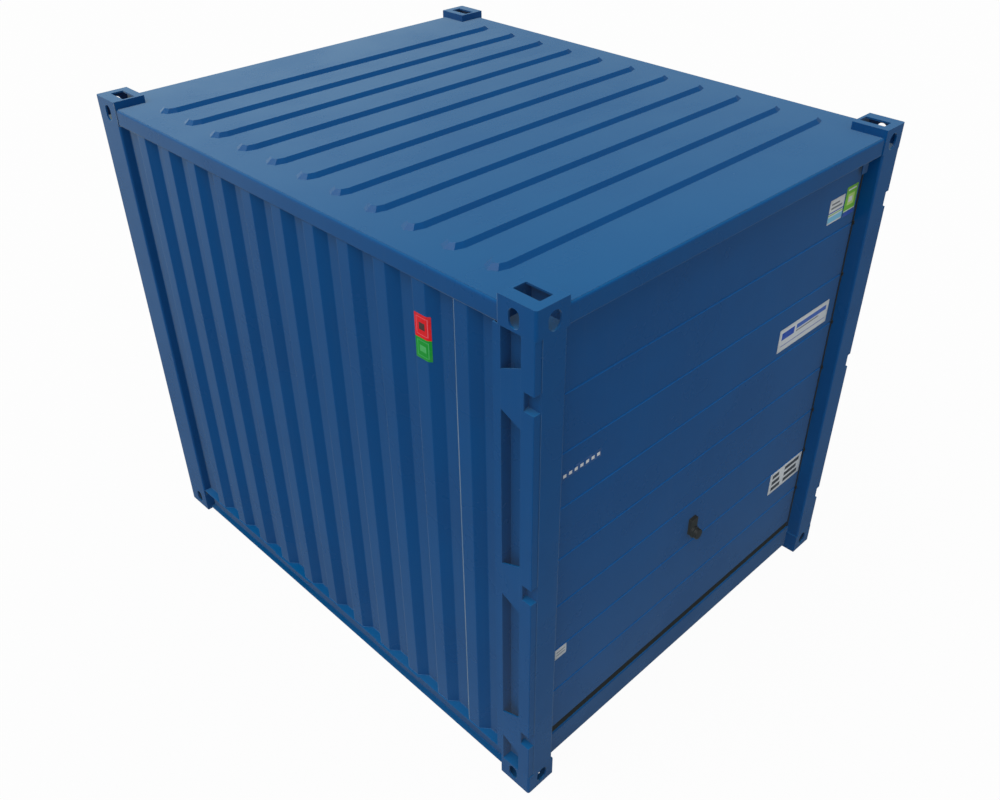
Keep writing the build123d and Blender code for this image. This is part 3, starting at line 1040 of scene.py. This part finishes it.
@dataclass
class DoorEnd:
    """Printed plates, seal knots and marks on the shutter."""

    jamb: float = HALF_WIDTH - POST_FRONT_WIDTH
    lowest_joint: float = 0.468
    joint_pitch: float = 0.2763
    joints: int = 7
    knot_width: float = 0.013
    knot_height: float = 0.020
    knot_depth: float = 0.007
    knot_corner: float = 0.004
    knot_drop: float = 0.004
    knot_inset: float = 0.0065
    seal_face: float = DOOR_FACE - 0.005

    def plates(self) -> list[Plate]:
        """The plates, with plain blocks of colour in place of any print."""
        white, off_white = shown(206, 210, 212), shown(196, 202, 206)
        grey, dark = shown(112, 118, 124), shown(58, 64, 72)
        blue, pale_blue = shown(36, 76, 168), shown(120, 186, 218)
        green = shown(110, 182, 50)
        tall = (
            Block(0.0, 0.06, 1.0, 0.30, pale_blue),
            Block(0.0, 0.36, 1.0, 0.40, green),
            Block(0.0, 0.44, 1.0, 0.49, blue),
            Block(0.12, 0.60, 0.88, 0.68, grey),
            Block(0.12, 0.77, 0.66, 0.84, grey),
        )
        sign = (
            Block(0.0, 0.0, 1.0, 0.16, blue),
            Block(0.0, 0.17, 1.0, 0.20, white),
            Block(0.20, 0.36, 0.80, 0.74, shown(176, 212, 120)),
            Block(0.30, 0.46, 0.62, 0.64, white),
            Block(0.14, 0.86, 0.86, 0.91, white),
        )
        wide = (
            Block(0.05, 0.50, 0.30, 0.82, blue),
            Block(0.34, 0.62, 0.95, 0.82, shown(58, 96, 176)),
            Block(0.34, 0.50, 0.80, 0.56, grey),
            Block(0.05, 0.22, 0.95, 0.25, blue),
        )
        rows = tuple(
            Block(start, 0.12 + 0.29 * n, end, 0.30 + 0.29 * n, dark)
            for n in range(3)
            for start, end in ((0.07, 0.36 - 0.04 * n), (0.46, 0.92 - 0.06 * (n % 2)))
        )
        bars = tuple(Block(0.12, low, 0.88, low + 0.10, grey) for low in (0.30, 0.60))
        stripes = tuple(Block(0.02 + 0.145 * n, 0.26, 0.10 + 0.145 * n, 0.66, white) for n in range(7))
        banded = PrintedPlate("print_pale_blue", white, tall)
        small = PrintedPlate("print_small", shown(186, 194, 200), bars)
        striped = PrintedPlate("print_stripes", shown(8, 75, 136), stripes)
        return [
            Plate("plate_pale_blue", 0.800, 0.928, 2.187, 2.308, banded),
            Plate("plate_green", 0.940, 1.040, 2.182, 2.332, PrintedPlate("print_green", green, sign)),
            Plate("plate_white", 0.548, 0.992, 1.600, 1.727, PrintedPlate("print_white", off_white, wide)),
            Plate("plate_grey", 0.738, 1.048, 0.590, 0.733, PrintedPlate("print_grey", off_white, rows)),
            Plate("plate_small", -0.980, -0.906, 0.672, 0.733, small, corner=0.002),
            Plate("mark_stripes", -0.976, -0.748, 1.706, 1.746, striped, depth=0.0004, corner=0.001),
        ]

    def plate(self, plate: Plate) -> bpy.types.Object:
        """Makes one plate on the shutter's face.

        Args:
            plate: Its edges and finish.

        Returns:
            The piece, with a UV map that runs from 0 to 1 across its face.
        """
        width, height = plate.right - plate.left, plate.high - plate.low
        rings = cushioned_slab(width, height, plate.depth, plate.corner)
        coordinates = np.stack([rings[..., 0] / width + 0.5, rings[..., 2] / height + 0.5], axis=-1)
        middle = np.array([(plate.left + plate.right) / 2, DOOR_FACE, (plate.low + plate.high) / 2])
        gathered = Rings().add(rings + middle, coordinates)
        return settle(gathered.build(plate.name, plate.finish.build()))

    def knots(self) -> bpy.types.Object:
        """Makes the small rubber blocks on the side seals, one at each joint between panels."""
        gathered = Rings()
        block = cushioned_slab(self.knot_width, self.knot_height, self.knot_depth, self.knot_corner)
        for side in Side:
            for index in range(self.joints):
                level = self.lowest_joint + index * self.joint_pitch - self.knot_drop
                gathered.add(block + [side.value * (self.jamb - self.knot_inset), self.seal_face, level])
        return settle(gathered.build("seal_knots", Rubber("knot_rubber").build()))

    def build(self) -> list[bpy.types.Object]:
        """Makes the door end's pieces."""
        return [self.plate(plate) for plate in self.plates()] + [self.knots()]


@dataclass
class WallLabel:
    """Two-coloured sticker laid over a crest of the left wall and the slope beside it."""

    start: float = -0.865
    end: float = -0.945
    low: float = 2.138
    high: float = 2.333
    outer: float = -(HALF_WIDTH - WALL_INSET)
    thickness: float = 0.0008
    bend: float = 0.005
    bend_fall: float = 0.2
    crests_from_middle: int = -4
    fold: WallFold = field(default_factory=lambda: WallFold(0.0))

    def build(self) -> bpy.types.Object:
        """Makes the sticker.

        Returns:
            The piece. A closed strip, as thick as the sticker, follows the wall's line: on the
            crest its outward place is the wall's outer face, and past the crest's edge it falls
            with the slope, with a small fall at the edge itself to round the bend. The strip is
            carried straight up.
        """
        edge = self.crests_from_middle * self.fold.pitch - self.fold.crest / 2
        along = np.array([self.start, edge + self.bend, edge, edge - self.bend, self.end])
        fall = np.maximum(edge - along, 0.0) * self.fold.depth / self.fold.slope
        fall[2] = self.bend * self.bend_fall
        inner = np.column_stack([self.outer + fall, along])
        steps = np.gradient(inner, axis=0)
        outward = np.column_stack([steps[:, 1], -steps[:, 0]])
        outward /= np.linalg.norm(outward, axis=1)[:, None]
        ring = np.vstack([inner, (inner + outward * self.thickness)[::-1]])
        share = (along - along[0]) / (along[-1] - along[0])
        across = np.concatenate([share, share[::-1]])
        heights = np.repeat([[self.low], [self.high]], len(ring), axis=1)
        up = np.repeat([[0.0], [1.0]], len(ring), axis=1)
        red, pale_red = shown(222, 20, 30), shown(230, 96, 108)
        green, pale_green = shown(18, 150, 48), shown(74, 178, 98)
        blocks = (
            Block(0.0, 0.0, 1.0, 0.476, green),
            Block(0.12, 0.06, 0.88, 0.42, pale_green),
            Block(0.16, 0.075, 0.84, 0.405, green),
            Block(0.28, 0.17, 0.72, 0.31, pale_green),
            Block(0.12, 0.54, 0.88, 0.94, pale_red),
            Block(0.16, 0.555, 0.84, 0.925, red),
            Block(0.30, 0.66, 0.70, 0.82, shown(74, 52, 50)),
        )
        finish = PrintedPlate("print_red_green", red, blocks, fade_share=0.04)
        strip = Rings().add(np.dstack([[ring, ring], heights]), np.dstack([[across, across], up]))
        return settle(strip.build("wall_sticker", finish.build(), smooth=False))


@dataclass
class Studio:
    """White floor, white surroundings that gloss shows grey, a soft overhead lamp and the camera."""

    sky_strength: float = 0.50
    sky_gloss: tuple[float, float] = (0.30, 0.60)
    back_gloss: float = 0.38
    ground_gloss: tuple[float, float] = (0.23, 0.37)
    below_gloss: float = 0.15
    gloss_tint: Colour = (0.82, 1.0, 1.0, 1.0)
    horizon: tuple[float, float] = (-0.60, -0.15)
    sky_reach: tuple[float, float] = (0.0, 0.5)
    back_reach: tuple[float, float] = (0.64, 0.84)
    ground_reach: tuple[float, float] = (0.0, 0.9)
    below_reach: tuple[float, float] = (-0.60, -0.85)
    lamp_strength: float = 1.80
    lamp_from: Point = (-0.42, -0.04, 0.90)
    lamp_angle: float = 0.9
    lamp_place: Point = (0.0, 0.0, 6.0)
    floor_reach: float = 60.0
    floor_level: float = -0.001
    floor_tones: tuple[Colour, Colour] = (shown(206, 206, 206), shown(202, 202, 202))
    tone_scale: float = 1.5
    glow_share: float = 0.96
    camera_place: Point = (-3.19208, -3.35673, 4.16622)
    camera_azimuth: float = -45.0
    camera_elevation: float = 35.264
    lens: float = 35.663
    shift: tuple[float, float] = (-0.01141, 0.00067)
    sensor: float = 36.0
    clip: tuple[float, float] = (0.05, 300.0)

    @staticmethod
    def blend(ends: tuple[float, float], share: Sock) -> Sock:
        """Goes from the first end to the second as the share goes from 0 to 1."""
        return share * (ends[1] - ends[0]) + ends[0]

    def build_world(self) -> None:
        """Makes the surroundings.

        They are white where they are seen and softer where they light things. Gloss shows them
        bluish grey: palest at the back above the horizon, dim towards the ground and the front, and
        a little paler again straight down.
        """
        world = bpy.data.worlds.new("surroundings")
        bpy.context.scene.world = world
        shader = Shader(world, "ShaderNodeOutputWorld")
        _, back, up = shader.parts(shader.add("ShaderNodeTexCoord", output="Generated"))
        ground = self.blend(self.ground_gloss, back.ramp(*self.ground_reach))
        ground = ground + up.ramp(*self.below_reach) * self.below_gloss
        sky = self.blend(self.sky_gloss, back.ramp(*self.sky_reach))
        sky = sky + back.ramp(*self.back_reach) * self.back_gloss
        rise = up.ramp(*self.horizon)
        mirrored = ground * (1 - rise) + sky * rise
        camera, gloss, through = shader.rays("Camera", "Glossy", "Transmission")
        lit = mirrored * gloss + (1 - gloss) * self.sky_strength
        strength = camera.or_larger(through).or_larger(lit)
        colour = shader.mixed(WHITE, self.gloss_tint, gloss)
        shader.end(shader.add("ShaderNodeBackground", inputs={"Color": colour, "Strength": strength}))

    def floor_material(self) -> bpy.types.Material:
        """Makes the floor's material.

        Returns:
            A matt pale floor that lights the container's sides. Seen directly it is nearly white
            by itself, with enough of the lit floor left in it to keep the shadow.
        """
        shader = Shader.named("studio_floor")
        tone = shader.noise(shader.place(), self.tone_scale, 3.0, 0.5)
        colour = shader.mixed(*self.floor_tones, tone)
        matt = shader.add("ShaderNodeBsdfDiffuse", inputs={"Color": colour})
        glow = shader.add("ShaderNodeEmission", inputs={"Color": WHITE, "Strength": 1.0})
        camera, through = shader.rays("Camera", "Transmission")
        seen = camera.or_larger(through) * self.glow_share
        return shader.end(shader.add("ShaderNodeMixShader", inputs={0: seen, 1: matt, 2: glow}))

    def build_floor(self) -> bpy.types.Object:
        """Makes the floor, a flat sheet a millimetre under the castings."""
        square = np.array([[-1.0, -1.0], [1.0, -1.0], [1.0, 1.0], [-1.0, 1.0]]) * self.floor_reach
        points = np.column_stack([square, np.full(4, self.floor_level)])
        floor = put_mesh("studio_floor", points, [(0, 1, 2, 3)], self.floor_material(), smooth=False)
        floor.visible_glossy = False
        return floor

    @staticmethod
    def aimed(data: bpy.types.ID, ahead: Vector, place: Point) -> bpy.types.Object:
        """Makes the object of a lamp or camera.

        Args:
            data: The lamp or camera, whose name the object takes.
            ahead: The direction that it looks in.
            place: Where it stands.

        Returns:
            The object.
        """
        made = bpy.data.objects.new(data.name, data)
        made.rotation_mode = "QUATERNION"
        made.rotation_quaternion = ahead.to_track_quat("-Z", "Y")
        made.location = place
        bpy.context.scene.collection.objects.link(made)
        return made

    def build_lamp(self) -> None:
        """Makes the wide overhead lamp."""
        lamp = bpy.data.lights.new("overhead_lamp", "SUN")
        lamp.energy = self.lamp_strength
        lamp.angle = self.lamp_angle
        self.aimed(lamp, -Vector(self.lamp_from), self.lamp_place)

    def build_camera(self) -> None:
        """Makes the camera at the photograph's viewing angle."""
        data = bpy.data.cameras.new("view")
        data.sensor_width = self.sensor
        data.lens = self.lens
        data.shift_x, data.shift_y = self.shift
        data.clip_start, data.clip_end = self.clip
        azimuth, elevation = math.radians(self.camera_azimuth), math.radians(self.camera_elevation)
        level = math.cos(elevation)
        ahead = Vector((-math.sin(azimuth) * level, math.cos(azimuth) * level, -math.sin(elevation)))
        bpy.context.scene.camera = self.aimed(data, ahead, self.camera_place)

    def build(self) -> None:
        """Makes the whole studio."""
        bpy.context.scene.view_settings.view_transform = "Standard"
        self.build_world()
        self.build_floor()
        self.build_lamp()
        self.build_camera()


def corners(box: tuple[Vector, Vector]) -> list[list[float]]:
    """The two corners of a box as plain lists."""
    return [[float(value) for value in corner] for corner in box]


def main() -> None:
    """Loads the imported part, dresses it and adds the pieces that the source leaves out."""
    logging.basicConfig(level=logging.INFO, format="%(name)s: %(message)s")
    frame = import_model()
    finishes = Finishes()
    Studio().build()
    finishes.dress(frame["nodes"], frame["record"])
    WeldSeams(finishes.weld, finishes.joint_highlight, finishes.hairline).build()
    DoorEnd().build()
    WallLabel().build()


if __name__ == "__main__":
    main()
